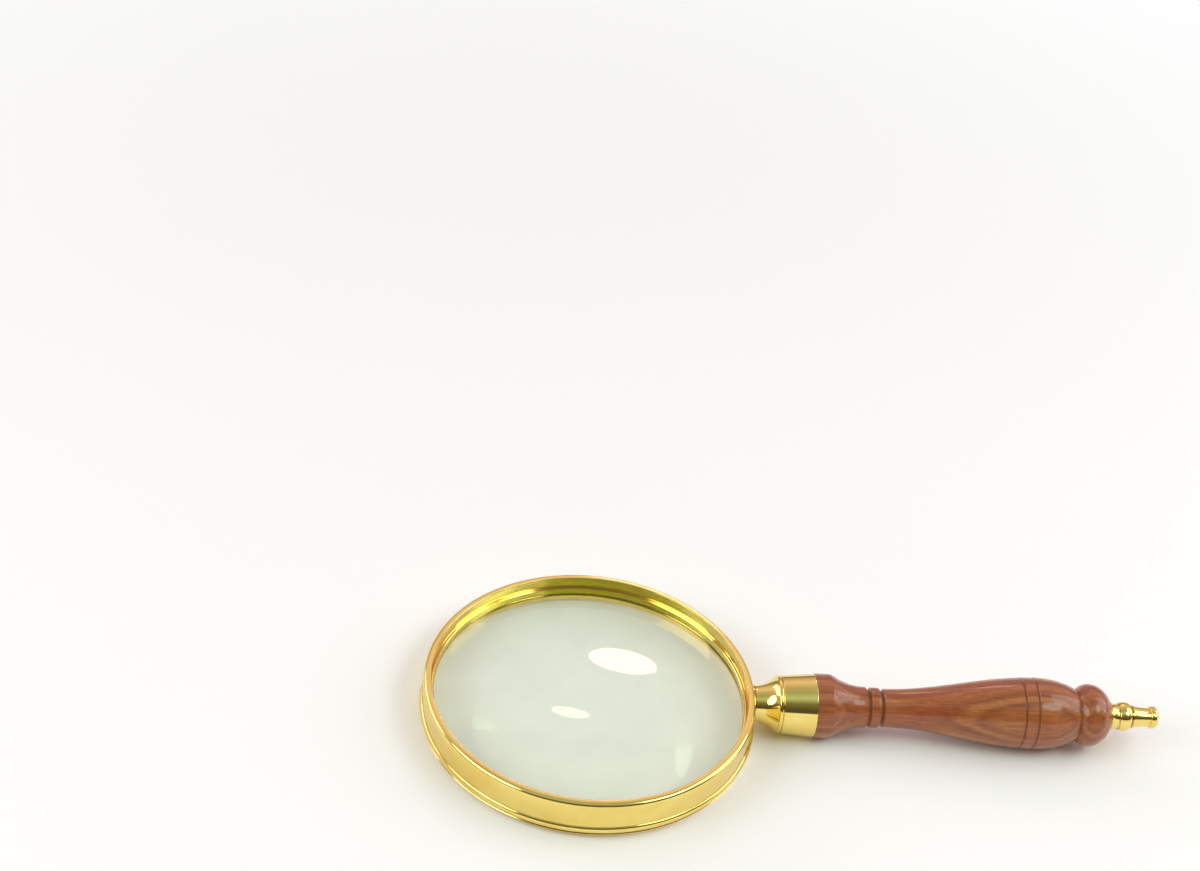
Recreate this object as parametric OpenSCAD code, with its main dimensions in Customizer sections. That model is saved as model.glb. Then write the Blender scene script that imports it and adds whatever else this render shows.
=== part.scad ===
// Hand magnifier: a biconvex lens in a turned brass rim, on a turned wooden handle.
// The origin is the middle of the rim on the lens axis. +X runs along the handle to its
// finial, and +Z is the lens axis, towards the side from which the lens is fitted.

/* [Lens] */
// Diameter of the lens
lens_d = 100; // [80:1:103]
// Radius of curvature of both faces of the lens
lens_curve = 300; // [290:10:600]
// Thickness of the lens at its edge
lens_edge = 2; // [1.5:0.1:2.5]
// Distance of the lens's middle plane below the middle of the rim
lens_drop = 0.8; // [0.6:0.1:1]

/* [Rim] */
// Height of the rim along the lens axis
rim_h = 12.6; // [12.4:0.1:15]
// Thickness of the rim's plain band, outside the lens
rim_band = 2.75; // [2.7:0.05:3.5]
// Width by which the seat reaches under the lens
seat_w = 0.9; // [0.8:0.1:1.4]
// Thickness of the seat
seat_t = 1.5; // [1:0.1:2]
// Radius of the round shoulder above the band
shoulder_r = 1.5; // [1:0.1:1.8]
// Radius of the round bead at the foot of the rim
foot_bead_r = 1.5; // [1.2:0.1:1.8]

/* [Retaining ring] */
// Radial width of the retaining ring
ring_w = 0.75; // [0.7:0.05:1]
// Thickness of the retaining ring
ring_t = 2.1; // [1.8:0.1:2.4]
// Direction of the first of its two spanner notches, from +X
notch_angle = 20; // [0:5:175]
// Width of a spanner notch
notch_w = 2.6; // [1.5:0.1:4]

/* [Neck and ferrule] */
// Length of the brass neck between the rim's band and the ferrule
neck_l = 8.65; // [8:0.05:12]
// Diameter of the neck where it meets the rim
neck_d = 11.7; // [10:0.1:12.5]
// Diameter of the ferrule at its front end
ferrule_front_d = 18.6; // [18.2:0.1:20]
// Diameter of the ferrule at the wood
ferrule_back_d = 20.4; // [20:0.1:21]
// Length of the ferrule
ferrule_l = 10.8; // [10:0.1:16]

/* [Wooden handle] */
// Length of the plain collar behind the ferrule
collar_l = 5.4; // [3:0.1:8]
// Diameter of the collar
collar_d = 20.6; // [20:0.1:22]
// Length of the hollow curve between the collar and the ring bead
cove_l = 11.8; // [8:0.1:16]
// Diameter of the thinnest part of the handle
waist_d = 13.1; // [11:0.1:14]
// Length of the swelling grip, from the ring bead to its thickest place
grip_l = 50.5; // [40:0.5:70]
// Diameter of the grip at its thickest place
grip_d = 23; // [20:0.5:26]
// Length of the round end of the grip
grip_end_l = 13.6; // [12:0.1:16]
// Diameter of the knob behind the grip
knob_d = 20.2; // [18:0.1:22]

/* [Finial] */
// Length of the brass finial
finial_l = 13.8; // [12.5:0.1:18]
// Diameter of the finial's bead
finial_bead_d = 9.4; // [8.6:0.1:10]
// Diameter of the finial's stem
finial_stem_d = 6; // [5.6:0.1:7]

/* [Hidden] */
$fn = 160;

BRASS = "gold";
STEEL = "silver";
WOOD = "sienna";
GLASS = "lightcyan";

// Clearances: flat faces of parts that come apart, running fits, the rod and the lens
face_gap = 0.02;
fit_gap = 0.05;
rod_gap = 0.1;
lens_gap = 0.1;
// How far a cut runs past the surface that it opens
cut_past = 1;

// Radii of the rim, from the lens axis out
seat_r = lens_d / 2 - seat_w;
under_r = lens_d / 2 - 0.4;
lens_r = lens_d / 2;
lens_bore_r = lens_r + lens_gap;
ring_r = lens_r + 0.15;
thread_r = ring_r + fit_gap;
wall_r = lens_r + 0.3;
band_r = lens_r + rim_band;
foot_r = band_r + 0.65;

// Heights of the rim and of what it holds, from the middle of the rim
top_z = rim_h / 2;

// Depth of a lens face's curve from its middle to radius r
function sag(r) = lens_curve - sqrt(lens_curve ^ 2 - r ^ 2);

lens_half = lens_edge / 2 + sag(lens_r);
seat_z = -lens_drop - lens_half + sag(seat_r) - face_gap;
seat_under_z = seat_z - seat_t;
ring_in_r = ring_r - ring_w;
ring_z = -lens_drop + lens_half - sag(ring_in_r) + face_gap;
ring_top_z = ring_z + ring_t;

// The retaining ring's thread rises 0.75 mm a turn, and the tie rod's 0.7 mm a turn
ring_pitch = 0.75;
ring_thread_depth = 0.25;
rod_pitch = 0.7;
rod_r = 2;
rod_root_r = 1.65;
tapped_r = rod_r + fit_gap;

// Places along the handle, from the lens axis
ferrule_x = band_r + neck_l;
wood_x = ferrule_x + ferrule_l;
cove_x = wood_x + collar_l;
ring_bead_x = cove_x + cove_l;
ring_bead_l = 5.1;
grip_x = ring_bead_x + ring_bead_l;
swell_x = grip_x + grip_l;
cusp_x = swell_x + grip_end_l;
knob_x = cusp_x + 4.1;
knob_back_l = 6.9;
wood_end_x = knob_x + knob_back_l;
washer_l = 2.8;
finial_x = wood_end_x + washer_l;
finial_end_x = finial_x + finial_l;

// Inside the neck and the ferrule
spigot_r = 3;
spigot_x = band_r - 1.5;
neck_hole_l = 6.4;
boss_r = 5;
boss_l = 1.6;
nut_x = ferrule_x + boss_l;
nut_t = 2.2;
nut_across = 7;
cavity_r = ferrule_front_d / 2 - 0.95;
tenon_x = nut_x + nut_t + 0.6;

// The tie rod: its ends, and the length of its thread inside the finial
rod_x = ferrule_x - neck_hole_l + 0.3;
rod_end_x = finial_x + 8.2;
rod_back_thread_l = 9.1;

// Points of an arc about (cx, cy), from angle a0 to a1
function arc(cx, cy, rx, ry, a0, a1, steps = 8) = [
    for (i = [0:steps])
        let (a = a0 + (a1 - a0) * i / steps)
            [cx + rx * cos(a), cy + ry * sin(a)]
];

// Points [radius, place] of thread-like rings, from radius r down (or out) to radius root
function thread(from, length, pitch, r, root) = [
    for (i = [0:floor(length / pitch) - 1])
        for (k = [0:2])
            [k == 1 ? root : r, from + pitch * (i + 0.15 + 0.35 * k)]
];

// A body turned about +X from its outline of [radius, x] points
module turned(outline) {
    rotate([0, 90, 0])
        rotate_extrude()
            polygon(outline);
}

// A cylinder along +X
module rod(x0, x1, r) {
    translate([x0, 0, 0])
        rotate([0, 90, 0])
            cylinder(h = x1 - x0, r = r);
}

// The outside of the rim, from its top down: a round shoulder, the plain band, the round
// bead at its foot and the thin flange that it stands on
function rim_outside(grow = 0) =
    let (bead_centre_r = foot_r - foot_bead_r,
         flange_h = 0.5,
         flange_edge = 0.15,
         flange_r = foot_r - 0.5,
         bead_centre_z = flange_h + foot_bead_r - top_z,
         bead_from = acos((band_r - bead_centre_r) / foot_bead_r),
         bead_to = -72)
    concat(
        arc(band_r - shoulder_r, top_z - shoulder_r, shoulder_r + grow, shoulder_r + grow, 90, 0, 8),
        arc(bead_centre_r, bead_centre_z,
            foot_bead_r + grow, foot_bead_r + grow, bead_from, bead_to, 14),
        [[flange_r - flange_edge + grow, flange_h - top_z + grow],
         [flange_r + grow, flange_h - flange_edge - top_z + grow],
         [flange_r + grow, flange_edge - top_z],
         [flange_r - flange_edge + grow, -top_z]]
    );

module rim() {
    edge = 0.4;
    seat_edge = 0.3;
    lip_round = 0.2;
    runout = 0.1;
    inside = concat(
        [[under_r + edge, -top_z],
         [under_r, edge - top_z],
         [under_r, seat_under_z],
         [seat_r + seat_edge, seat_under_z],
         [seat_r, seat_under_z + seat_edge],
         [seat_r, seat_z],
         [lens_bore_r, seat_z],
         [lens_bore_r, ring_z - 2 * runout],
         [thread_r, ring_z - runout]],
        thread(ring_z, ring_t, ring_pitch, thread_r, thread_r + ring_thread_depth),
        [[thread_r, ring_top_z],
         [wall_r, ring_top_z + runout]],
        arc(wall_r + lip_round, top_z - lip_round, lip_round, lip_round, 180, 90, 4)
    );
    color(BRASS)
        difference() {
            rotate_extrude()
                polygon(concat(inside, rim_outside()));
            rod(spigot_x, foot_r + cut_past, spigot_r + fit_gap);
        }
}

module lens() {
    steps = 24;
    bevel = 0.3;
    face_r = lens_r - bevel;
    face = [
        for (i = [0:steps])
            let (r = face_r * i / steps)
                [r, lens_half - sag(r)]
    ];
    lower_face = [for (i = [steps:-1:0]) [face[i][0], -face[i][1]]];
    edge = [[lens_r, lens_edge / 2 - bevel], [lens_r, bevel - lens_edge / 2]];
    color(GLASS, 0.4)
        translate([0, 0, -lens_drop])
            rotate_extrude()
                polygon(concat(face, edge, lower_face));
}

module retaining_ring() {
    edge = 0.1;
    chamfer = 0.15;
    notch_depth = 0.8;
    threads = 2;
    outline = concat(
        [[ring_in_r, ring_z],
         [ring_r - edge, ring_z],
         [ring_r, ring_z + edge]],
        thread(ring_z, threads * ring_pitch, ring_pitch, ring_r, ring_r - ring_thread_depth),
        [[ring_r, ring_top_z - chamfer],
         [ring_r - chamfer, ring_top_z],
         [ring_in_r + chamfer, ring_top_z],
         [ring_in_r, ring_top_z - chamfer]]
    );
    color(BRASS)
        difference() {
            rotate_extrude()
                polygon(outline);
            for (turn = [0, 180])
                rotate([0, 0, notch_angle + turn])
                    translate([ring_r - ring_w / 2, -notch_w / 2, ring_top_z - notch_depth])
                        cube([ring_w, notch_w, notch_depth + cut_past]);
        }
}

// The neck flares from the rim in a round hollow and ends in a small bead at the ferrule
module neck() {
    neck_r = neck_d / 2;
    flange_r = ferrule_front_d / 2;
    flare_turn = 49;
    bead_l = 1.4;
    bead_high = 0.45;
    flare_from = band_r - 0.1;
    flare_l = neck_l - bead_l + 0.1;
    flare_rise = flange_r - 0.1 - neck_r;
    inner_x = band_r - 1;
    flare = [
        for (i = [0:10])
            let (a = flare_turn * i / 10)
                [neck_r + flare_rise * (1 - cos(a)) / (1 - cos(flare_turn)),
                 flare_from + flare_l * sin(a) / sin(flare_turn)]
    ];
    bead = [
        for (a = [150:-20:30])
            [flange_r - bead_high * (1 - sin(a)), ferrule_x - bead_l / 2 * (1 - cos(a))]
    ];
    outline = concat(
        [[0, spigot_x + face_gap],
         [spigot_r, spigot_x + face_gap],
         [spigot_r, inner_x],
         [neck_r, inner_x]],
        flare,
        bead,
        [[bead[len(bead) - 1][0], ferrule_x],
         [boss_r, ferrule_x],
         [boss_r, nut_x],
         [0, nut_x]]
    );
    color(BRASS)
        difference() {
            turned(outline);
            difference() {
                rotate_extrude()
                    polygon(concat([[0, top_z]], rim_outside(face_gap), [[0, -top_z - face_gap]]));
                rod(0, foot_r + cut_past, spigot_r);
            }
            rod(ferrule_x - neck_hole_l, nut_x + cut_past, tapped_r);
        }
}

module tie_rod() {
    end_l = 0.2;
    front_thread_l = neck_hole_l + boss_l + nut_t;
    outline = concat(
        [[0, rod_x],
         [rod_root_r, rod_x]],
        thread(rod_x + end_l, front_thread_l, rod_pitch, rod_r, rod_root_r),
        thread(rod_end_x - rod_back_thread_l - end_l, rod_back_thread_l, rod_pitch, rod_r, rod_root_r),
        [[rod_root_r, rod_end_x],
         [0, rod_end_x]]
    );
    color(STEEL)
        turned(outline);
}

module rod_nut() {
    color(STEEL)
        difference() {
            translate([nut_x, 0, 0])
                rotate([0, 90, 0])
                    cylinder(h = nut_t, d = nut_across / cos(30), $fn = 6);
            rod(nut_x - cut_past, nut_x + nut_t + cut_past, tapped_r);
        }
}

module ferrule() {
    front_r = ferrule_front_d / 2;
    back_r = ferrule_back_d / 2;
    edge = 0.2;
    front_x = ferrule_x + face_gap;
    color(BRASS)
        difference() {
            turned([
                [0, front_x],
                [front_r - edge, front_x],
                [front_r, front_x + edge],
                [back_r, wood_x - edge],
                [back_r - edge, wood_x],
                [0, wood_x]
            ]);
            rod(front_x - cut_past, wood_x, boss_r + fit_gap);
            rod(nut_x, wood_x + cut_past, cavity_r);
        }
}

// The handle is turned in one piece: a tenon in the ferrule, a collar, a hollow curve, a
// ring bead between two grooves, the swelling grip with two fine lines, and a round knob
module handle() {
    collar_r = collar_d / 2;
    waist_r = waist_d / 2;
    grip_r = grip_d / 2;
    knob_r = knob_d / 2;
    edge = 0.3;
    fine_edge = 0.15;
    round_r = 0.5;
    tenon_r = cavity_r - face_gap;

    tenon = [
        [0, tenon_x],
        [tenon_r - edge, tenon_x],
        [tenon_r, tenon_x + edge],
        [tenon_r, wood_x]
    ];
    collar = concat(
        [[collar_r - fine_edge, wood_x],
         [collar_r, wood_x + fine_edge]],
        arc(collar_r - round_r, cove_x - round_r, round_r, round_r, 0, 45, 3)
    );

    // The cove is half a parabola that runs level at the waist
    cove_rise = collar_r - 0.25 - waist_r;
    cove = [
        for (i = [1:12])
            let (t = i / 12)
                [waist_r + cove_rise * (1 - t) ^ 2, cove_x + (cove_l - 0.4) * t]
    ];

    // The ring bead is flat on top with round edges, and the groove behind it is deeper
    bead_r = waist_r - 0.1;
    groove_r = waist_r - 0.75;
    back_groove_r = waist_r - 0.95;
    groove_half = 0.3;
    bead_from = ring_bead_x + 0.8;
    bead_to = grip_x - 0.8;
    ring_bead = concat(
        [[groove_r, ring_bead_x + groove_half]],
        arc(bead_r - round_r, bead_from + round_r, round_r, round_r, -60, 0, 3),
        arc(bead_r - round_r, bead_to - round_r, round_r, round_r, 0, 60, 3),
        [[back_groove_r, grip_x - 0.55]]
    );

    // The grip swells along half a cosine wave, and its end is part of an ellipse
    grip_start_r = waist_r - 0.4;
    grip = [
        for (i = [0:24])
            let (t = i / 24)
                [grip_start_r + (grip_r - grip_start_r) * (1 - cos(180 * t)) / 2, grip_x + grip_l * t]
    ];
    cusp_share = 0.7;
    end_long = grip_end_l / sqrt(1 - cusp_share ^ 2);
    grip_end = [
        for (i = [1:12])
            let (x = grip_end_l * sin(90 * i / 12))
                [grip_r * sqrt(1 - (x / end_long) ^ 2), swell_x + x]
    ];

    // The knob is blunter in front of its thickest place than behind it
    knob_front = 6.8;
    knob_back = 8;
    knob = concat(
        arc(0, knob_x, knob_r, knob_front, -31, 0, 6),
        [for (i = [1:12])
            let (x = knob_back_l * sin(90 * i / 12))
                [knob_r * sqrt(1 - (x / knob_back) ^ 2), knob_x + x]]
    );

    // Two V-shaped lines near the thickest place
    line_depth = 0.45;
    line_reach = 2;

    color(WOOD)
        difference() {
            turned(concat(tenon, collar, cove, ring_bead, grip, grip_end, knob, [[0, wood_end_x]]));
            for (x = [swell_x - 5.4, swell_x - 1.2])
                turned([
                    [grip_r - line_depth, x],
                    [grip_r + line_reach, x - line_depth - line_reach],
                    [grip_r + line_reach, x + line_depth + line_reach]
                ]);
            rod(tenon_x - cut_past, wood_end_x + cut_past, rod_r + rod_gap);
        }
}

// A small hollow-sided cone that spreads the finial's pull on the end of the wood
module finial_washer() {
    wide_r = 4.8;
    narrow_r = 4;
    edge = 0.15;
    side_x = wood_end_x + 2 * edge;
    side = [
        for (i = [0:5])
            let (t = i / 5)
                [narrow_r + (wide_r - narrow_r) * (1 - t) ^ 2, side_x + (finial_x - side_x) * t]
    ];
    color(BRASS)
        difference() {
            turned(concat(
                [[0, wood_end_x],
                 [wide_r - edge, wood_end_x],
                 [wide_r, wood_end_x + edge]],
                side,
                [[0, finial_x]]
            ));
            rod(wood_end_x - cut_past, finial_x + cut_past, rod_r + 2 * rod_gap);
        }
}

// The finial is a bead, a slim waisted stem and a flange with a low dome
module finial() {
    bead_r = finial_bead_d / 2;
    stem_r = finial_stem_d / 2;
    flange_r = stem_r + 0.6;
    front_x = finial_x + face_gap;
    bead_l = 4.3;
    bead_high = 0.95;
    shoulder_l = 0.9;
    shoulder_r = stem_r + 0.7;
    flange_l = 1.9;
    flange_round = 0.4;
    dome_r = flange_r - 0.6;
    dome_h = 0.7;
    hole_spare = 0.8;
    shoulder_x = finial_x + bead_l + shoulder_l;
    flange_end_x = finial_end_x - 1;
    flange_x = flange_end_x - flange_l;
    bead = [
        for (a = [155:-13:25])
            [bead_r - bead_high * (1 - sin(a)), finial_x + bead_l / 2 * (1 + cos(a))]
    ];
    stem = [
        for (i = [1:6])
            let (t = i / 6)
                [stem_r + (flange_r - stem_r) * (1 - t) ^ 2,
                 shoulder_x + (flange_x - shoulder_x) * t]
    ];
    flange = concat(
        arc(flange_r - flange_round, flange_x + flange_round, flange_round, flange_round, -90, 0, 4),
        arc(flange_r - flange_round, flange_end_x - flange_round, flange_round, flange_round, 0, 60, 4)
    );
    color(BRASS)
        difference() {
            turned(concat(
                [[0, front_x],
                 [bead_r - bead_high + 0.25, front_x]],
                bead,
                [[shoulder_r, finial_x + bead_l + 0.15],
                 [shoulder_r, shoulder_x]],
                stem,
                flange,
                arc(0, finial_end_x - dome_h, dome_r, dome_h, 0, 90, 5)
            ));
            rod(finial_x - cut_past, rod_end_x + hole_spare, tapped_r);
        }
}

rim();
lens();
retaining_ring();
neck();
tie_rod();
rod_nut();
ferrule();
handle();
finial_washer();
finial();
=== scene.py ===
"""A hand magnifier: a clear lens in a turned brass rim, on a turned rosewood handle."""

import logging
import math
from collections.abc import Callable
from dataclasses import dataclass, field
from enum import Enum
from typing import Self

import bpy
from bpy.types import Material, Node, NodeSocket, NodeTree, Object, World
from mathutils import Matrix, Vector

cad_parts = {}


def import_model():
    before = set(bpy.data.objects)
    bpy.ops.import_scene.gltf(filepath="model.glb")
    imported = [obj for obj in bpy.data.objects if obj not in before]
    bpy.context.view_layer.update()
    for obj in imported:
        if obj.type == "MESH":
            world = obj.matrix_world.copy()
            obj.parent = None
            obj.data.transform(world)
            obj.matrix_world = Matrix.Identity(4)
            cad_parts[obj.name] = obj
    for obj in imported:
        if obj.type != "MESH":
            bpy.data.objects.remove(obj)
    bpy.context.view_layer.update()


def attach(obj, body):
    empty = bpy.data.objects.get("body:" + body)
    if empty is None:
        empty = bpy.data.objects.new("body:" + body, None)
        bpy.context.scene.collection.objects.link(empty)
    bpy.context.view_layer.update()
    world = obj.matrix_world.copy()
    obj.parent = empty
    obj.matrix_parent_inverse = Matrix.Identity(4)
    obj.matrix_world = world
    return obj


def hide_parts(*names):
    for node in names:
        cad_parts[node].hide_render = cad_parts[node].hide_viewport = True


MM = 0.001
DOUBLES = 0.002 * MM
SMOOTH_ANGLE = math.radians(28)

Pair = tuple[float, float]
Triple = tuple[float, float, float]

log = logging.getLogger("magnifier")


class Axis(Enum):
    """The two axes that everything on the magnifier is turned about."""

    LENS = (0.0, 0.0, 1.0)
    HANDLE = (1.0, 0.0, 0.0)

    def point(self, radius: float, place: float) -> Vector:
        """Places an outline point.

        Args:
            radius: Distance from this axis, in millimetres.
            place: Distance along this axis, in millimetres.

        Returns:
            The point in the object's frame, in metres.
        """
        if self is Axis.LENS:
            return Vector((radius, 0.0, place)) * MM
        return Vector((place, 0.0, -radius)) * MM

    @property
    def across(self) -> Triple:
        """Mask that keeps only the two coordinates at right angles to this axis."""
        return tuple(1.0 - part for part in self.value)


class Cut(Enum):
    """What a tool object takes from the piece that it shapes."""

    INSIDE = "DIFFERENCE"
    OUTSIDE = "INTERSECT"


class LampFace(Enum):
    """The outline of a light's face."""

    SQUARE = "RECTANGLE"
    ROUND = "ELLIPSE"


@dataclass
class Outline:
    """Half the section of a turned piece, drawn point by point in millimetres.

    Each point has a radius, a place along the axis, and a share of painted recess shade and old
    polish.
    """

    points: list[Triple] = field(default_factory=list)

    def to(self, radius: float, place: float, shade_and_residue: float = 0.0) -> Self:
        """Draws a straight line to a point, with its share of painted shade and polish, 0 to 1.
        """
        self.points.append((radius, place, shade_and_residue))
        return self

    def arc(self, centre: Pair, radii: Pair, angles: Pair, steps: int) -> Self:
        """Draws an arc of a circle or an ellipse.

        Args:
            centre: Radius and place of its centre.
            radii: Half its size across the axis and along it.
            angles: Its first and last angle in degrees, 0 being straight out.
            steps: Number of straight pieces.

        Returns:
            This outline.
        """
        for i in range(steps + 1):
            a = math.radians(angles[0] + (angles[1] - angles[0]) * i / steps)
            self.to(centre[0] + radii[0] * math.cos(a), centre[1] + radii[1] * math.sin(a))
        return self

    def curve(self, radius_at: Callable[[float], float], places: Pair, steps: int) -> Self:
        """Draws a curve given by its radius at each place.

        Args:
            radius_at: Gives the radius at a place.
            places: Its first and last place.
            steps: Number of straight pieces.

        Returns:
            This outline.
        """
        start, end = places
        for i in range(steps + 1):
            place = start + (end - start) * i / steps
            self.to(radius_at(place), place)
        return self

    def hollow(self, radii: Pair, places: Pair, steps: int) -> Self:
        """Draws a hollow curve, half a parabola that starts steep and ends along the axis.

        Args:
            radii: Its first and last radius.
            places: Its first and last place.
            steps: Number of straight pieces.

        Returns:
            This outline.
        """
        (steep, level), (start, end) = radii, places
        return self.curve(
            lambda place: level + (steep - level) * ((end - place) / (end - start)) ** 2,
            places,
            steps,
        )

    def round_end(self, radius: float, half: float, places: Pair, shade_and_residue: float) -> Self:
        """Draws an ellipse from its thickest place on, with finer steps as it closes in.

        Args:
            radius: Radius at its thickest place.
            half: Half the length of the whole ellipse.
            places: Its thickest place, and where it is cut off.
            shade_and_residue: Share of painted shade and polish where it is cut off.

        Returns:
            This outline.
        """
        start, end = places
        steps = 20
        for i in range(1, steps + 1):
            along = (end - start) * math.sin(math.pi / 2 * i / steps)
            # Only the cut-off end gets painted shade and polish.
            left = shade_and_residue if i == steps else 0.0
            self.to(radius * math.sqrt(1 - (along / half) ** 2), start + along, left)
        return self

    def thread(self, start: float, turns: int, pitch: float, crest: float, root: float) -> Self:
        """Draws the crests and roots of a fine thread along the axis.

        Args:
            start: Place of its first turn.
            turns: Number of turns.
            pitch: Length of a turn.
            crest: Radius of the crests.
            root: Radius of the roots.

        Returns:
            This outline.
        """
        for i in range(turns):
            at = start + pitch * i
            # Thread roots get full painted shade and polish.
            self.to(crest, at + 0.10 * pitch).to(root, at + 0.45 * pitch, 1.0)
            self.to(root, at + 0.55 * pitch, 1.0).to(crest, at + 0.90 * pitch)
        return self

    def close(self) -> Self:
        """Ends the outline where it began."""
        return self.to(*self.points[0])


def select_only(piece: Object) -> None:
    """Selects one object and nothing else, and makes it the active one.

    Args:
        piece: The object.
    """
    bpy.ops.object.select_all(action="DESELECT")
    piece.select_set(True)
    bpy.context.view_layer.objects.active = piece


def finish_mesh(piece: Object) -> None:
    """Merges doubles, turns every face outwards and smooths all but the sharp edges.

    Args:
        piece: The object whose mesh is finished.
    """
    select_only(piece)
    bpy.ops.object.mode_set(mode="EDIT")
    bpy.ops.mesh.select_all(action="SELECT")
    bpy.ops.mesh.remove_doubles(threshold=DOUBLES)
    bpy.ops.mesh.normals_make_consistent(inside=False)
    bpy.ops.object.mode_set(mode="OBJECT")
    bpy.ops.object.shade_smooth_by_angle(angle=SMOOTH_ANGLE)


def turn(name: str, outline: Outline, axis: Axis, segments: int = 192) -> Object:
    """Turns a piece as on a lathe: draws its outline as a chain of edges, then spins it.

    Args:
        name: Name of the piece.
        outline: Half its section.
        axis: The axis that it is turned about.
        segments: Number of faces round it.

    Returns:
        The finished piece.
    """
    places = [axis.point(radius, place) for radius, place, _ in outline.points]
    bpy.ops.mesh.primitive_plane_add(size=MM)
    piece = bpy.context.object
    piece.name = piece.data.name = name
    bpy.ops.object.mode_set(mode="EDIT")
    bpy.ops.mesh.select_all(action="SELECT")
    bpy.ops.mesh.merge(type="CENTER")
    bpy.ops.transform.translate(value=places[0])
    for here, there in zip(places, places[1:]):
        bpy.ops.mesh.extrude_vertices_move(TRANSFORM_OT_translate={"value": there - here})
    bpy.ops.object.mode_set(mode="OBJECT")
    # Each point's share of painted recess shade and old polish, for the materials.
    shade_and_residue = piece.data.attributes.new("shade_and_residue", "FLOAT", "POINT")
    shade_and_residue.data.foreach_set("value", [share for _, _, share in outline.points])
    bpy.ops.object.mode_set(mode="EDIT")
    bpy.ops.mesh.select_all(action="SELECT")
    bpy.ops.mesh.spin(steps=segments, angle=math.tau, center=(0, 0, 0), axis=axis.value)
    bpy.ops.object.mode_set(mode="OBJECT")
    finish_mesh(piece)
    return piece


def shape_with(piece: Object, tool: Object, cut: Cut) -> None:
    """Cuts away what lies inside a tool object, or outside it, and removes the tool.

    Args:
        piece: The piece that is shaped.
        tool: The object that shapes it.
        cut: The side of the tool that is cut away.
    """
    select_only(piece)
    boolean = piece.modifiers.new("shape", "BOOLEAN")
    boolean.operation = cut.value
    boolean.object = tool
    bpy.ops.object.modifier_apply(modifier=boolean.name)
    bpy.data.objects.remove(tool)
    finish_mesh(piece)


def linear(hex_colour: str) -> tuple[float, float, float, float]:
    """Turns an sRGB hex colour into the linear colour that the shaders take."""
    parts = [int(hex_colour[i : i + 2], 16) / 255 for i in (1, 3, 5)]
    return (*((c / 12.92 if c <= 0.04045 else ((c + 0.055) / 1.055) ** 2.4) for c in parts), 1.0)


@dataclass
class Nodes:
    """The node tree of a material or of the world, and ways to add to it."""

    tree: NodeTree

    @classmethod
    def of(cls, owner: Material | World) -> Self:
        """Empties the node tree of a material or a world.

        Args:
            owner: The material or the world.

        Returns:
            Its tree, ready to be filled.
        """
        owner.use_nodes = True
        owner.node_tree.nodes.clear()
        return cls(owner.node_tree)

    def add(
        self, kind: str, inputs: dict[str | int, object] | None = None, **settings: object
    ) -> Node:
        """Adds a node, with its settings, values and links.

        Args:
            kind: The node's type, without the ShaderNode that all of them start with.
            inputs: Value or output socket for each of its inputs, by name or number.
            **settings: The node's own properties.

        Returns:
            The new node.
        """
        node = self.tree.nodes.new(f"ShaderNode{kind}")
        for key, value in settings.items():
            setattr(node, key, value)
        for key, value in (inputs or {}).items():
            if isinstance(value, NodeSocket):
                self.tree.links.new(value, node.inputs[key])
            else:
                node.inputs[key].default_value = value
        return node

    def place(self) -> NodeSocket:
        """Adds the socket that gives the place on the object."""
        return self.add("TexCoord").outputs["Object"]

    def ramp(self, value: NodeSocket, *stops: tuple[float, str]) -> NodeSocket:
        """Turns a value into a colour.

        Args:
            value: The value.
            *stops: Value and hex colour of each stop, in rising order.

        Returns:
            The colour.
        """
        node = self.add("ValToRGB", {"Fac": value})
        elements = node.color_ramp.elements
        elements.remove(elements[1])
        elements[0].position = stops[0][0]
        for place, _ in stops[1:]:
            elements.new(place)
        for element, (_, colour) in zip(elements, stops):
            element.color = linear(colour)
        return node.outputs["Color"]

    def noise(
        self, place: NodeSocket, width: float, detail: float, distortion: float = 0.0
    ) -> NodeSocket:
        """Adds cloudy noise.

        Args:
            place: The place on the object.
            width: Width of a cloud in millimetres.
            detail: Number of finer layers.
            distortion: How far the clouds are pulled out of shape.

        Returns:
            The noise, from 0 to 1.
        """
        inputs = {"Vector": place, "Scale": 1 / (width * MM), "Detail": detail}
        return self.add("TexNoise", inputs | {"Distortion": distortion}).outputs[0]

    def distance(self, place: NodeSocket, axis: Axis) -> NodeSocket:
        """Measures how far a place is from an axis.

        Args:
            place: The place.
            axis: The axis, taken through the origin.

        Returns:
            The distance.
        """
        across = self.add("VectorMath", {0: place, 1: axis.across}, operation="MULTIPLY")
        length = self.add("VectorMath", {0: across.outputs[0]}, operation="LENGTH")
        return length.outputs["Value"]

    def mix(self, share: NodeSocket, first: NodeSocket, second: str) -> NodeSocket:
        """Mixes a colour into another.

        Args:
            share: How much of the second colour there is.
            first: The colour where the share is 0.
            second: Hex colour where it is 1.

        Returns:
            The mixed colour.
        """
        inputs = {"Factor": share, "A": first, "B": linear(second)}
        return self.add("Mix", inputs, data_type="RGBA").outputs["Result"]

    def remap(self, value: NodeSocket, seen: Pair, given: Pair) -> NodeSocket:
        """Stretches a value from one range to another, and holds it at the ends.

        Args:
            value: The value that is stretched.
            seen: Its lowest and highest value that count.
            given: What these two become.

        Returns:
            The new value.
        """
        inputs = {"Value": value, "From Min": seen[0], "From Max": seen[1]}
        return self.add("MapRange", inputs | {"To Min": given[0], "To Max": given[1]}).outputs[0]

    def stain_and_shade(self, clean: NodeSocket, left: str) -> NodeSocket:
        """Lays painted recess shade and old polish over a clean colour, by each point's share.

        Args:
            clean: The clean colour.
            left: Hex colour of the painted shade and what was left.

        Returns:
            The colour of the whole surface.
        """
        # Each point's share of painted recess shade and old polish, from the outline.
        shade_and_residue = self.add("Attribute", attribute_name="shade_and_residue")
        return self.mix(shade_and_residue.outputs["Fac"], clean, left)


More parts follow.
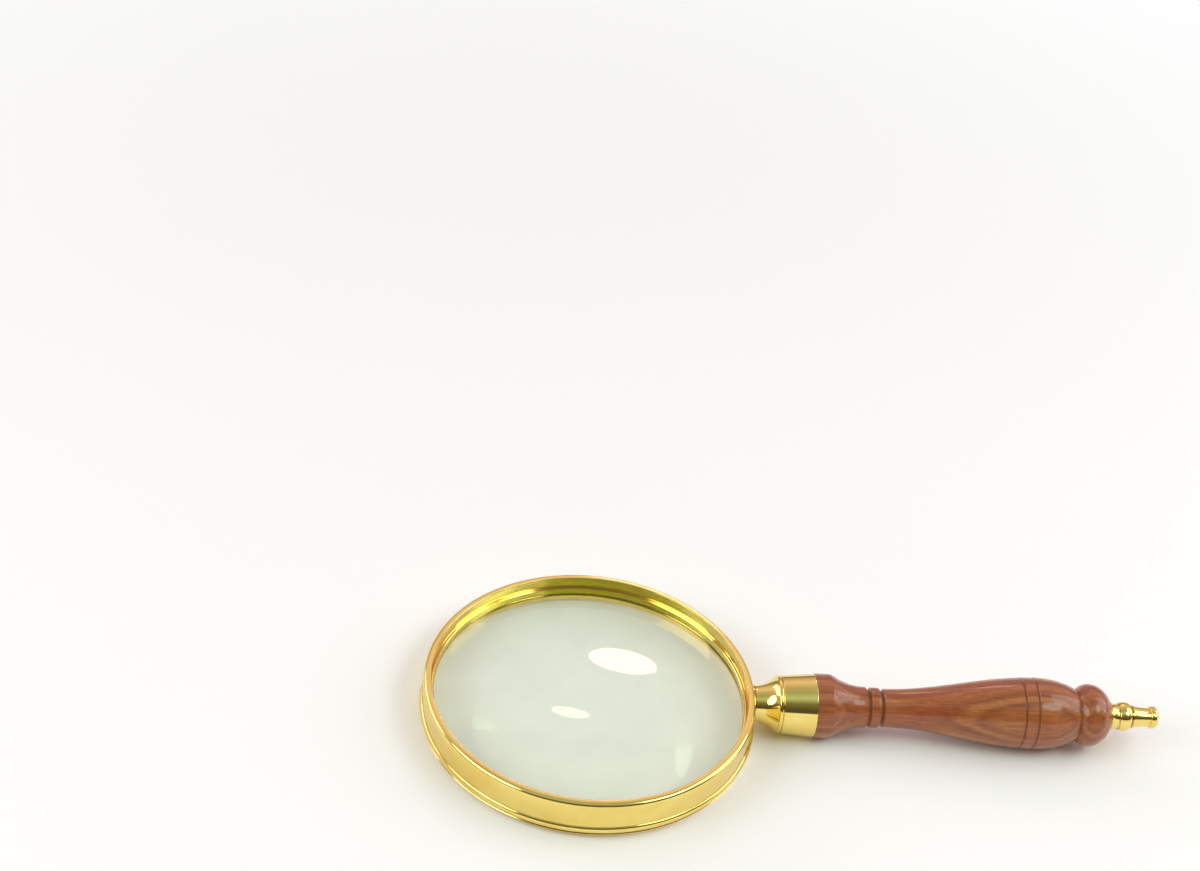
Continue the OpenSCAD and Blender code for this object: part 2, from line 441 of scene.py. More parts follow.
@dataclass(frozen=True)
class PolishedBrass:
    """Turned brass, buffed on the lathe and clear lacquered.

    The cutting tool and the buffing leave hair-fine rings, and handling leaves faint smears.
    The grooves are darkened with brown polish and painted shade. The eye gets mirror-like
    lemon gold with a softly broken edge to each reflection.
    """

    axis: Axis
    slot: str = "polished_brass"
    metal: str = "#F8E086"
    warm_metal: str = "#F2D272"
    # Brown polish left in the grooves, with painted shade.
    polish_and_shade: str = "#8A6A2C"
    roughness: Pair = (0.06, 0.15)
    mark_width: float = 0.45
    mark_depth: float = 0.002
    smear_width: float = 14.0

    def material(self) -> Material:
        """Builds the material for pieces turned about this axis.

        Returns:
            The material.
        """
        material = bpy.data.materials.new(f"{self.slot}_{self.axis.name.lower()}_axis")
        nodes = Nodes.of(material)
        place = nodes.place()
        smears = nodes.noise(place, self.smear_width, detail=4.0, distortion=0.6)
        tone = nodes.ramp(smears, (0.35, self.metal), (0.75, self.warm_metal))
        marks = self.tool_marks(nodes, place)
        bump = nodes.add(
            "Bump", {"Strength": 0.15, "Distance": self.mark_depth * MM, "Height": marks}
        )
        shader = nodes.add(
            "BsdfPrincipled",
            {
                "Base Color": nodes.stain_and_shade(tone, self.polish_and_shade),
                "Metallic": 1.0,
                "Roughness": nodes.remap(smears, (0.35, 0.72), self.roughness),
                "Normal": bump.outputs[0],
            },
        )
        nodes.add("OutputMaterial", {"Surface": shader.outputs[0]})
        return material

    def tool_marks(self, nodes: Nodes, place: NodeSocket) -> NodeSocket:
        """Adds noise that is the same all round the axis, as rings left by the lathe tool.

        Args:
            nodes: The material's nodes.
            place: The place on the object.

        Returns:
            The noise.
        """
        radius = nodes.distance(place, self.axis)
        along = nodes.add("VectorMath", {0: place, 1: self.axis.value}, operation="DOT_PRODUCT")
        rings = nodes.add("CombineXYZ", {"X": radius, "Y": along.outputs["Value"]})
        return nodes.noise(rings.outputs[0], self.mark_width, detail=2.0)


@dataclass(frozen=True)
class CrownGlass:
    """Optical crown glass, ground and polished on both faces.

    Iron in the glass takes a little red and blue from light for each millimetre that it
    crosses. The eye gets clear glass that turns olive green where it looks along the lens,
    with hard bright reflections of the window.
    """

    slot: str = "lens_glass"
    clean: str = "#F1F6EE"
    wiped: str = "#E9EEE5"
    wipe_width: float = 22.0
    index: float = 1.52
    body: str = "#BCDFA4"
    body_per_metre: float = 16.0

    def material(self) -> Material:
        """Builds the material, with the faintest cloud of dust and wiping on the surface.

        Returns:
            The material.
        """
        material = bpy.data.materials.new(self.slot)
        nodes = Nodes.of(material)
        wiping = nodes.noise(nodes.place(), self.wipe_width, detail=5.0, distortion=1.2)
        shader = nodes.add(
            "BsdfPrincipled",
            {
                "Base Color": nodes.ramp(wiping, (0.4, self.clean), (0.8, self.wiped)),
                "Transmission Weight": 1.0,
                "IOR": self.index,
                "Roughness": nodes.remap(wiping, (0.45, 0.8), (0.0, 0.015)),
            },
        )
        body = nodes.add(
            "VolumeAbsorption", {"Color": linear(self.body), "Density": self.body_per_metre}
        )
        nodes.add("OutputMaterial", {"Surface": shader.outputs[0], "Volume": body.outputs[0]})
        return material


@dataclass(frozen=True)
class WaxedRosewood:
    """Rosewood turned on a lathe, sanded fine, oiled and waxed.

    The growth rings run along the handle and show as quiet streaks, with fine fibre and short
    dark pores between them, and the colour wanders between brown and red. The wax gives the
    eye a soft broad sheen.
    """

    slot: str = "polished_rosewood"
    light_wood: str = "#C58549"
    mid_wood: str = "#B16734"
    dark_wood: str = "#8E4A24"
    red_wood: str = "#A6532B"
    pore: str = "#6B3823"
    # Painted shade in the grooves and lines, with wax left there.
    groove_shade_and_wax: str = "#7A4318"
    shaded_fibre: str = "#CFC8C2"
    pith: Triple = (0.0, 52.0, -31.0)
    ring_width: float = 2.0
    wander: float = 5.0
    pore_depth: float = 0.015
    roughness: Pair = (0.34, 0.52)

    def material(self) -> Material:
        """Builds the material: growth rings, fine fibre and pores, all drawn along X.

        Returns:
            The material.
        """
        material = bpy.data.materials.new(self.slot)
        nodes = Nodes.of(material)
        place = nodes.place()
        fibre = self.grain(nodes, place, stretch=0.035, width=0.5, detail=4.0)
        fine_grain = self.grain(nodes, place, stretch=0.07, width=0.26, detail=2.0)
        pores = nodes.remap(fine_grain, (0.60, 0.72), (0.0, 0.5))
        clouds = self.grain(nodes, place, stretch=0.25, width=9.0, detail=2.0)
        reddening = nodes.remap(clouds, (0.42, 0.64), (0.0, 0.75))
        streaked = nodes.mix(reddening, self.figure(nodes, place), self.red_wood)
        shades = nodes.ramp(fibre, (0.32, self.shaded_fibre), (0.66, "#FFFFFF"))
        fibrous = nodes.add(
            "Mix",
            {"Factor": 1.0, "A": streaked, "B": shades},
            data_type="RGBA",
            blend_type="MULTIPLY",
        )
        wood = nodes.mix(pores, fibrous.outputs["Result"], self.pore)
        bump = nodes.add(
            "Bump",
            {"Strength": 0.3, "Distance": self.pore_depth * MM, "Height": pores},
            invert=True,
        )
        shader = nodes.add(
            "BsdfPrincipled",
            {
                "Base Color": nodes.stain_and_shade(wood, self.groove_shade_and_wax),
                "Roughness": nodes.remap(fibre, (0.0, 1.0), self.roughness),
                "Specular IOR Level": 0.25,
                "Coat Weight": 0.75,
                "Coat Roughness": 0.09,
                "Normal": bump.outputs[0],
            },
        )
        nodes.add("OutputMaterial", {"Surface": shader.outputs[0]})
        return material

    def grain(
        self, nodes: Nodes, place: NodeSocket, stretch: float, width: float, detail: float
    ) -> NodeSocket:
        """Adds noise drawn out along the handle, as fibres and pores are.

        Args:
            nodes: The material's nodes.
            place: The place on the object.
            stretch: Width of a streak over its length.
            width: Width of a streak in millimetres.
            detail: Number of finer layers.

        Returns:
            The noise.
        """
        drawn_out = nodes.add("Mapping", {"Vector": place, "Scale": (stretch, 1.0, 1.0)})
        return nodes.noise(drawn_out.outputs[0], width, detail)

    def figure(self, nodes: Nodes, place: NodeSocket) -> NodeSocket:
        """Adds growth rings about a pith that lies outside the handle, and wanders along it.

        Args:
            nodes: The material's nodes.
            place: The place on the object.

        Returns:
            The rings' colour.
        """
        wander = self.grain(nodes, place, stretch=0.12, width=13.0, detail=3.0)
        pith = Vector(self.pith) * MM
        from_pith = nodes.add("VectorMath", {0: place, 1: pith}, operation="SUBTRACT")
        ring_radius = nodes.distance(from_pith.outputs[0], Axis.HANDLE)
        ring_place = nodes.add(
            "Math", {0: wander, 1: self.wander * MM, 2: ring_radius}, operation="MULTIPLY_ADD"
        )
        growth = nodes.add(
            "TexNoise",
            {"W": ring_place.outputs[0], "Scale": 1 / (self.ring_width * MM), "Detail": 3.0},
            noise_dimensions="1D",
        )
        stops = ((0.25, self.dark_wood), (0.50, self.mid_wood), (0.92, self.light_wood))
        return nodes.ramp(growth.outputs[0], *stops)


@dataclass(frozen=True)
class ZincPlatedSteel:
    """Bright zinc-plated steel, as on any bought rod and nut.

    The plating's fine crystals give the eye a slightly blue grey with a soft sparkle.
    """

    slot: str = "bright_steel"
    zinc: str = "#C3C7CB"
    dull_zinc: str = "#A2A6AA"
    # Painted shade in the thread roots, with oil left there.
    oil_and_shade: str = "#5A5A58"
    crystal_width: float = 0.5
    roughness: float = 0.28

    def material(self) -> Material:
        """Builds the material.

        Returns:
            The material.
        """
        material = bpy.data.materials.new(self.slot)
        nodes = Nodes.of(material)
        scale = 1 / (self.crystal_width * MM)
        crystals = nodes.add("TexVoronoi", {"Vector": nodes.place(), "Scale": scale})
        tone = nodes.ramp(crystals.outputs["Distance"], (0.1, self.zinc), (0.9, self.dull_zinc))
        shader = nodes.add(
            "BsdfPrincipled",
            {
                "Base Color": nodes.stain_and_shade(tone, self.oil_and_shade),
                "Metallic": 1.0,
                "Roughness": self.roughness,
            },
        )
        nodes.add("OutputMaterial", {"Surface": shader.outputs[0]})
        return material


@dataclass
class Workshop:
    """Holds one material of each finish, and dresses each piece as it is done."""

    brass: dict[Axis, Material]
    glass: Material
    wood: Material
    steel: Material

    @classmethod
    def open(cls) -> Self:
        """Makes every material once."""
        return cls(
            brass={axis: PolishedBrass(axis).material() for axis in Axis},
            glass=CrownGlass().material(),
            wood=WaxedRosewood().material(),
            steel=ZincPlatedSteel().material(),
        )

    def dress(self, piece: Object, material: Material, body: str, node: str) -> None:
        """Gives a piece its finish and its place in the frame.

        Args:
            piece: The finished mesh.
            material: What it is made of.
            body: The body that it moves with.
            node: The plain node that it stands for.
        """
        piece.data.materials.clear()
        piece.data.materials.append(material)
        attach(piece, body)
        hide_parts(node)
        log.info("%s: %d faces", piece.name, len(piece.data.polygons))


@dataclass
class LensSet:
    """The lens, its rim and its retaining ring, all turned about the lens axis.

    Sizes are in millimetres, and heights are from the middle of the rim.
    """

    lens_r: float = 50.0
    curve_r: float = 300.0
    lens_edge: float = 2.0
    lens_z: float = -0.8
    half_h: float = 6.3
    band_r: float = 52.75
    shoulder_r: float = 1.5
    foot_r: float = 53.4
    foot_bead_r: float = 1.5
    flange_r: float = 52.9
    flange_h: float = 0.5
    seat_r: float = 49.1
    seat_t: float = 1.5
    ring_outer_r: float = 50.15
    ring_w: float = 0.75
    ring_t: float = 2.1
    pitch: float = 0.75
    thread_depth: float = 0.25
    thread_gap: float = 0.05
    bore_gap: float = 0.1
    wall_gap: float = 0.3
    face_gap: float = 0.02
    foot_bevel: float = 0.4
    lens_bevel: float = 0.3
    edge: float = 0.15
    notch_angle: float = 20.0
    notch: Pair = (2.6, 0.8)

    def sag(self, radius: float) -> float:
        """Depth of a lens face from its middle to this radius."""
        return self.curve_r - math.sqrt(self.curve_r**2 - radius**2)

    @property
    def lens_half(self) -> float:
        """Half the thickness of the lens at its middle."""
        return self.lens_edge / 2 + self.sag(self.lens_r)

    @property
    def seat_z(self) -> float:
        """Height of the seat, where the lens's lower face meets its inner edge."""
        return self.lens_z - self.lens_half + self.sag(self.seat_r) - self.face_gap

    @property
    def ring_z(self) -> float:
        """Height of the retaining ring's lower face."""
        inner_r = self.ring_outer_r - self.ring_w
        return self.lens_z + self.lens_half - self.sag(inner_r) + self.face_gap

    def build(self, shop: Workshop) -> None:
        """Builds the three pieces.

        The lens casts no shadow, which would be too dark: it would be drawn without the light
        that a real lens lets through to the paper.

        Args:
            shop: The workshop that dresses them.
        """
        brass = shop.brass[Axis.LENS]
        shop.dress(self.rim(), brass, "frame", "rim")
        lens = self.lens()
        shop.dress(lens, shop.glass, "lens", "lens")
        lens.visible_shadow = False
        lens.visible_diffuse = False
        ring = self.retaining_ring()
        shop.dress(ring, brass, "retaining_ring", "retaining_ring")

    def rim(self) -> Object:
        """Turns the rim as one closed outline, from the top of its shoulder out and round.

        Returns:
            The rim.
        """
        outline = Outline()
        self.draw_outside(outline)
        self.draw_inside(outline)
        return turn("brass_rim", outline.close(), Axis.LENS, 256)

    def draw_outside(self, outline: Outline) -> None:
        """Draws the round shoulder, the plain band, the foot bead and the thin flange.

        Args:
            outline: The rim's outline, empty so far.
        """
        top, foot, edge = self.half_h, -self.half_h, self.edge
        shoulder, bead = self.shoulder_r, self.foot_bead_r
        bead_r, bead_z = self.foot_r - bead, foot + self.flange_h + bead
        bead_from = math.degrees(math.acos((self.band_r - bead_r) / bead))
        band_foot = bead_z + bead * math.sin(math.radians(bead_from))
        outline.to(self.band_r - shoulder - edge, top)
        outline.arc((self.band_r - shoulder, top - shoulder), (shoulder, shoulder), (90, 0), 12)
        outline.to(self.band_r, top - shoulder - edge).to(self.band_r, band_foot + edge)
        outline.to(self.band_r - 0.03, band_foot, 0.7)
        outline.arc((bead_r, bead_z), (bead, bead), (bead_from - 4, -68), 16)
        inner = math.radians(-72)
        outline.to(bead_r + bead * math.cos(inner), bead_z + bead * math.sin(inner), 0.8)
        outline.to(self.flange_r - edge, foot + self.flange_h, 0.5)
        outline.to(self.flange_r, foot + self.flange_h - edge).to(self.flange_r, foot + edge)
        outline.to(self.flange_r - edge, foot)

    def draw_inside(self, outline: Outline) -> None:
        """Draws the foot, the seat under the lens, the thread and the rim's inner wall.

        Args:
            outline: The rim's outline, drawn as far as its foot.
        """
        top, foot = self.half_h, -self.half_h
        under_r, under_z = self.lens_r - self.foot_bevel, self.seat_z - self.seat_t
        bore_r = self.lens_r + self.bore_gap
        thread_r = self.ring_outer_r + self.thread_gap
        wall_r = self.lens_r + self.wall_gap
        ring_top = self.ring_z + self.ring_t
        outline.to(self.lens_r, foot).to(under_r, foot + self.foot_bevel)
        outline.to(under_r, under_z + 0.1)
        outline.to(under_r, under_z, 0.6).to(self.seat_r + 0.3, under_z)
        outline.to(self.seat_r, under_z + 0.3).to(self.seat_r, self.seat_z)
        outline.to(bore_r, self.seat_z, 0.6).to(bore_r, self.ring_z - 0.2)
        outline.to(thread_r, self.ring_z - 0.1)
        outline.thread(self.ring_z, 2, self.pitch, thread_r, thread_r + self.thread_depth)
        outline.to(thread_r, ring_top).to(wall_r, ring_top + 0.1).to(wall_r, ring_top + 0.3)
        outline.to(wall_r, top - 0.4)
        outline.arc((wall_r + 0.2, top - 0.2), (0.2, 0.2), (180, 90), 6)

    def lens(self) -> Object:
        """Grinds the lens: two spherical faces, a bevel on each and a straight edge.

        Returns:
            The lens.
        """
        steps = 28
        radii = [(self.lens_r - self.lens_bevel) * i / steps for i in range(steps + 1)]
        half_edge = self.lens_edge / 2 - self.lens_bevel
        outline = Outline()
        for r in radii:
            outline.to(r, self.lens_z + self.lens_half - self.sag(r))
        outline.to(self.lens_r, self.lens_z + half_edge).to(self.lens_r, self.lens_z - half_edge)
        for r in reversed(radii):
            outline.to(r, self.lens_z - self.lens_half + self.sag(r))
        return turn("glass_lens", outline, Axis.LENS, 256)

    def retaining_ring(self) -> Object:
        """Turns the thin ring that holds the lens, and mills its two spanner notches.

        Returns:
            The retaining ring.
        """
        outer, inner = self.ring_outer_r, self.ring_outer_r - self.ring_w
        low, high = self.ring_z, self.ring_z + self.ring_t
        edge = self.edge
        outline = Outline()
        outline.to(inner, low).to(outer - 0.1, low).to(outer, low + 0.1)
        outline.thread(low + 0.05, 2, self.pitch, outer, outer - self.thread_depth)
        outline.to(outer, high - edge).to(outer - edge, high)
        outline.to(inner + edge, high).to(inner, high - edge)
        ring = turn("brass_retaining_ring", outline.close(), Axis.LENS, 256)
        width, depth = self.notch
        middle = Vector((outer * MM, 0, (high - depth + 1) * MM))
        for side in (0, 180):
            angle = math.radians(self.notch_angle + side)
            spin = Matrix.Rotation(angle, 4, "Z")
            bpy.ops.mesh.primitive_cube_add(size=MM, location=spin @ middle)
            cutter = bpy.context.object
            cutter.scale = (self.ring_w, width, 2)
            cutter.rotation_euler.z = angle
            shape_with(ring, cutter, Cut.INSIDE)
        return ring


@dataclass
class NeckSet:
    """The neck, the ferrule, and the rod and nut that they hide, turned about the handle's axis.

    Sizes are in millimetres, and places are from the lens axis.
    """

    neck_r: float = 5.85
    flare_places: Pair = (52.65, 60.0)
    flare_turn: float = 49.0
    flare_rise: float = 3.35
    front_r: float = 9.3
    back_r: float = 10.2
    face_x: float = 61.4
    wood_x: float = 72.2
    boss: Pair = (5.0, 63.0)
    spigot: Pair = (3.0, 51.27)
    hole_x: float = 55.0
    wall: float = 0.95
    gap: float = 0.05
    face_gap: float = 0.02
    edge: float = 0.2
    rod_ends: Pair = (55.3, 180.6)
    rod_r: float = 2.0
    rod_root_r: float = 1.65
    rod_pitch: float = 0.7
    rod_threads: tuple[int, int] = (14, 13)
    nut: Pair = (7.0, 2.2)
    nut_bevel: float = 0.25

    def build(self, shop: Workshop) -> None:
        """Builds the four pieces.

        Args:
            shop: The workshop that dresses them.
        """
        brass = shop.brass[Axis.HANDLE]
        shop.dress(self.neck(), brass, "frame", "neck")
        shop.dress(self.tie_rod(), shop.steel, "frame", "tie_rod")
        shop.dress(self.rod_nut(), shop.steel, "frame", "rod_nut")
        shop.dress(self.ferrule(), brass, "handle", "ferrule")

    def neck(self) -> Object:
        """Turns the neck: spigot, hollow flare, small bead and threaded boss.

        Returns:
            The neck.
        """
        turn_end = math.radians(self.flare_turn)
        start, end = self.flare_places
        spigot_r, spigot_x = self.spigot
        boss_r, boss_x = self.boss
        hole_r = self.rod_r + self.gap
        steps = 16
        outline = Outline()
        outline.to(0, spigot_x).to(spigot_r, spigot_x).to(spigot_r, spigot_x + 0.6)
        outline.to(self.neck_r, spigot_x + 0.6).to(self.neck_r + 0.1, start + 0.05, 0.7)
        for i in range(1, steps + 1):
            a = turn_end * i / steps
            rise = self.flare_rise * (1 - math.cos(a)) / (1 - math.cos(turn_end))
            along = (end - start) * math.sin(a) / math.sin(turn_end)
            outline.to(self.neck_r + rise, start + along)
        outline.to(self.front_r - 0.32, end + 0.04, 0.9)
        outline.arc((self.front_r - 0.45, self.face_x - 0.7), (0.45, 0.7), (-55, 62), 10)
        outline.to(self.front_r - 0.3, self.face_x, 0.8).to(boss_r, self.face_x)
        outline.to(boss_r, boss_x).to(hole_r, boss_x).to(hole_r, self.hole_x).to(0, self.hole_x)
        return turn("brass_neck", outline, Axis.HANDLE)

    def tie_rod(self) -> Object:
        """Turns the rod, threaded at both ends.

        Returns:
            The rod.
        """
        start, end = self.rod_ends
        front, back = self.rod_threads
        margin = 0.2
        outline = Outline()
        outline.to(0, start).to(self.rod_root_r, start)
        outline.thread(start + margin, front, self.rod_pitch, self.rod_r, self.rod_root_r)
        back_start = end - margin - back * self.rod_pitch
        outline.thread(back_start, back, self.rod_pitch, self.rod_r, self.rod_root_r)
        outline.to(self.rod_root_r, end).to(0, end)
        return turn("steel_tie_rod", outline, Axis.HANDLE, 48)

    def rod_nut(self) -> Object:
        """Makes the lock nut: a hexagon whose corners are turned off on both faces.

        Returns:
            The nut.
        """
        across, thick = self.nut
        start, end = self.boss[1], self.boss[1] + thick
        hole_r, bevel = self.rod_r + self.gap, self.nut_bevel
        tall_r = across / 2 / math.cos(math.radians(30))
        face_r, blank_r = across / 2 - 0.05, tall_r + 0.05
        blank = Outline()
        blank.to(hole_r + bevel, start).to(face_r, start).to(blank_r, start + 0.4)
        blank.to(blank_r, end - 0.4).to(face_r, end)
        blank.to(hole_r + bevel, end).to(hole_r, end - bevel).to(hole_r, start + bevel)
        nut = turn("steel_rod_nut", blank.close(), Axis.HANDLE, 96)
        bpy.ops.mesh.primitive_cylinder_add(
            vertices=6,
            radius=tall_r * MM,
            depth=2 * thick * MM,
            location=((start + end) / 2 * MM, 0, 0),
            rotation=(0, math.pi / 2, 0),
        )
        shape_with(nut, bpy.context.object, Cut.OUTSIDE)
        return nut

    def ferrule(self) -> Object:
        """Turns the tapered ferrule, hollow over the tenon.

        Returns:
            The ferrule.
        """
        bore_r, cavity_x = self.boss[0] + self.gap, self.boss[1]
        cavity_r = self.front_r - self.wall
        front, back, edge = self.face_x + self.face_gap, self.wood_x, self.edge
        taper = (self.back_r - self.front_r) / (back - front)
        outline = Outline()
        outline.to(bore_r, front).to(self.front_r - edge, front)
        outline.arc((self.front_r - edge, front + edge), (edge, edge), (-90, 0), 4)
        outline.to(self.front_r + 2 * edge * taper, front + 2 * edge)
        outline.to(self.back_r - 2 * edge * taper, back - 2 * edge)
        outline.arc((self.back_r - edge, back - edge), (edge, edge), (0, 90), 4)
        outline.to(cavity_r, back).to(cavity_r, cavity_x, 0.6).to(bore_r, cavity_x)
        return turn("brass_ferrule", outline.close(), Axis.HANDLE)


@dataclass
class WoodenHandle:
    """The one-piece turned handle. Sizes are in millimetres, places from the lens axis."""

    tenon: Pair = (8.33, 65.8)
    collar_r: float = 10.3
    collar_x: float = 72.2
    cove_places: Pair = (77.6, 89.0)
    waist_r: float = 6.55
    bead_places: Pair = (90.35, 93.5)
    grip_places: Triple = (94.95, 145.0, 158.6)
    grip_r: float = 11.5
    cusp_share: float = 0.7
    line_places: Pair = (139.6, 143.8)
    line_depth: float = 0.45
    knob: tuple[float, float, float, float] = (162.7, 10.1, 6.8, 8.0)
    end_x: float = 169.6
    bore_r: float = 2.1

    def build(self, shop: Workshop) -> None:
        """Builds the handle."""
        shop.dress(self.handle(), shop.wood, "handle", "handle")

    def grip_radius(self, place: float) -> float:
        """Half a cosine wave, from the grip's start to its swell.

        Args:
            place: A place on the grip's front part.

        Returns:
            The grip's radius there.
        """
        start, swell, _ = self.grip_places
        start_r = self.waist_r - 0.4
        share = (place - start) / (swell - start)
        return start_r + (self.grip_r - start_r) * (1 - math.cos(math.pi * share)) / 2

    def handle(self) -> Object:
        """Turns tenon, collar, cove, ring bead, grip, knob and bore in one outline.

        Returns:
            The handle.
        """
        tenon_r, tenon_x = self.tenon
        outline = Outline()
        outline.to(self.bore_r, tenon_x).to(tenon_r - 0.3, tenon_x).to(tenon_r, tenon_x + 0.3)
        outline.to(tenon_r, self.collar_x).to(self.collar_r - 0.15, self.collar_x, 0.3)
        outline.to(self.collar_r, self.collar_x + 0.15)
        self.draw_cove(outline)
        self.draw_ring_bead(outline)
        self.draw_grip(outline)
        self.draw_knob(outline)
        outline.to(self.bore_r, self.end_x).close()
        return turn("rosewood_handle", outline, Axis.HANDLE)

    def draw_cove(self, outline: Outline) -> None:
        """Draws the collar's rounded end and the hollow curve down to the waist.

        Args:
            outline: The handle's outline, drawn as far as the collar.
        """
        start, end = self.cove_places
        outline.arc((self.collar_r - 0.5, start - 0.5), (0.5, 0.5), (0, 45), 5)
        outline.hollow((self.collar_r - 0.25, self.waist_r), (start + 0.25, end), 20)

    def draw_ring_bead(self, outline: Outline) -> None:
        """Draws the round-edged ring bead between its two grooves.

        Args:
            outline: The handle's outline, drawn as far as the waist.
        """
        start, end = self.bead_places
        waist_r, bead_r = self.waist_r, self.waist_r - 0.1
        outline.to(waist_r - 0.45, start - 0.95, 0.1)
        outline.to(waist_r - 0.85, start - 0.62, 0.6).to(waist_r - 0.88, start - 0.5, 0.9)
        outline.to(bead_r - 0.45, start - 0.05, 0.5)
        outline.arc((bead_r - 0.5, start + 0.5), (0.5, 0.5), (-60, 0), 5)
        outline.arc((bead_r - 0.5, end - 0.5), (0.5, 0.5), (0, 60), 5)
        outline.to(bead_r - 0.45, end + 0.05, 0.1)
        outline.to(waist_r - 1.13, end + 0.5, 0.6).to(waist_r - 1.16, end + 0.62, 0.9)
        outline.to(waist_r - 0.78, end + 1.08, 0.5)

    def draw_grip(self, outline: Outline) -> None:
        """Draws the grip's long swell, with its two lines, and its round end down to the cusp.

        Args:
            outline: The handle's outline, drawn as far as the ring bead.
        """
        at, swell, cusp = self.grip_places
        for line in self.line_places:
            outline.curve(self.grip_radius, (at, line - self.line_depth), 26)
            line_r = self.grip_radius(line) - self.line_depth + 0.1
            outline.to(line_r, line - 0.14, 0.8).to(line_r, line + 0.14, 0.8)
            at = line + self.line_depth
        outline.curve(self.grip_radius, (at, swell), 3)
        half = (cusp - swell) / math.sqrt(1 - self.cusp_share**2)
        outline.round_end(self.grip_r, half, (swell, cusp), 0.8)

    def draw_knob(self, outline: Outline) -> None:
        """Draws the knob, blunter in front of its thickest place than behind it.

        Args:
            outline: The handle's outline, drawn as far as the cusp.
        """
        middle, radius, front, back = self.knob
        outline.arc((0, middle), (radius, front), (-31, -2), 10).to(radius, middle)
        outline.round_end(radius, back, (middle, self.end_x), 0.5)


@dataclass
class FinialSet:
    """The finial and the washer under it. Sizes are in millimetres, places from the lens axis."""

    washer_places: Pair = (169.6, 172.4)
    washer_radii: Pair = (4.8, 4.0)
    washer_bore_r: float = 2.2
    bead: Triple = (4.7, 0.95, 4.3)
    shoulder: Pair = (3.7, 177.6)
    stem_r: float = 3.0
    flange: Triple = (3.6, 183.3, 185.2)
    dome: Pair = (3.0, 0.7)
    end_x: float = 186.2
    hole: Pair = (2.05, 181.4)
    face_gap: float = 0.02

    def build(self, shop: Workshop) -> None:
        """Builds the two pieces.

        Args:
            shop: The workshop that dresses them.
        """
        brass = shop.brass[Axis.HANDLE]
        shop.dress(self.washer(), brass, "handle", "finial_washer")
        shop.dress(self.finial(), brass, "finial", "finial")

    def washer(self) -> Object:
        """Turns the small hollow-sided cone.

        Returns:
            The washer.
        """
        start, end = self.washer_places
        wide, narrow = self.washer_radii
        outline = Outline()
        outline.to(self.washer_bore_r, start).to(wide - 0.15, start, 0.7).to(wide, start + 0.15)
        outline.hollow((wide, narrow), (start + 0.3, end), 10)
        outline.to(self.washer_bore_r, end).close()
        return turn("brass_finial_washer", outline, Axis.HANDLE, 128)

    def finial(self) -> Object:
        """Turns the finial: bead, waisted stem, flange and low dome, with a blind hole.

        Returns:
            The finial.
        """
        bead_r, bead_high, bead_l = self.bead
        bead_in = bead_r - bead_high
        start = self.washer_places[1]
        shoulder_r, shoulder_x = self.shoulder
        flange_r, flange_x, flange_end = self.flange
        dome_r, dome_h = self.dome
        hole_r, hole_x = self.hole
        outline = Outline()
        outline.to(hole_r, start + self.face_gap).to(bead_in + 0.25, start + self.face_gap, 0.8)
        outline.arc((bead_in, start + bead_l / 2), (bead_high, bead_l / 2), (-65, 65), 20)
        outline.to(shoulder_r, start + bead_l + 0.15, 1.0).to(shoulder_r, shoulder_x)
        outline.hollow((flange_r, self.stem_r), (shoulder_x + 0.05, flange_x), 12)
        outline.arc((flange_r - 0.4, flange_x + 0.4), (0.4, 0.4), (-90, 0), 5)
        outline.arc((flange_r - 0.4, flange_end - 0.4), (0.4, 0.4), (0, 75), 5)
        outline.arc((0, self.end_x - dome_h), (dome_r, dome_h), (4, 90), 8)
        outline.to(0, hole_x).to(hole_r, hole_x).close()
        return turn("brass_finial", outline, Axis.HANDLE, 128)


@dataclass(frozen=True)
class SoftLight:
    """A flat light that faces the object.

    Its direction is in degrees, round from +X towards +Y and then up, and its distance and
    size are in metres. Its brightness is that of its face, white paper being 1.
    """

    name: str
    round_from_x: float
    up: float
    far: float
    size: Pair
    brightness: float
    tint: str = "#FFFFFF"
    face: LampFace = LampFace.SQUARE

    def hang(self) -> None:
        """Adds the light to the scene."""
        around, rise = math.radians(self.round_from_x), math.radians(self.up)
        flat = math.cos(rise)
        way = Vector((flat * math.cos(around), flat * math.sin(around), math.sin(rise)))
        place = self.far * way
        bpy.ops.object.light_add(type="AREA", location=place)
        lamp = bpy.context.object
        lamp.name = lamp.data.name = self.name
        lamp.rotation_euler = place.to_track_quat("Z", "Y").to_euler()
        lamp.data.shape = self.face.value
        lamp.data.size, lamp.data.size_y = self.size
        lamp.data.color = linear(self.tint)[:3]
        fill = math.pi / 4 if self.face is LampFace.ROUND else 1.0
        area = self.size[0] * self.size[1] * fill
        lamp.data.energy = self.brightness * math.pi * area


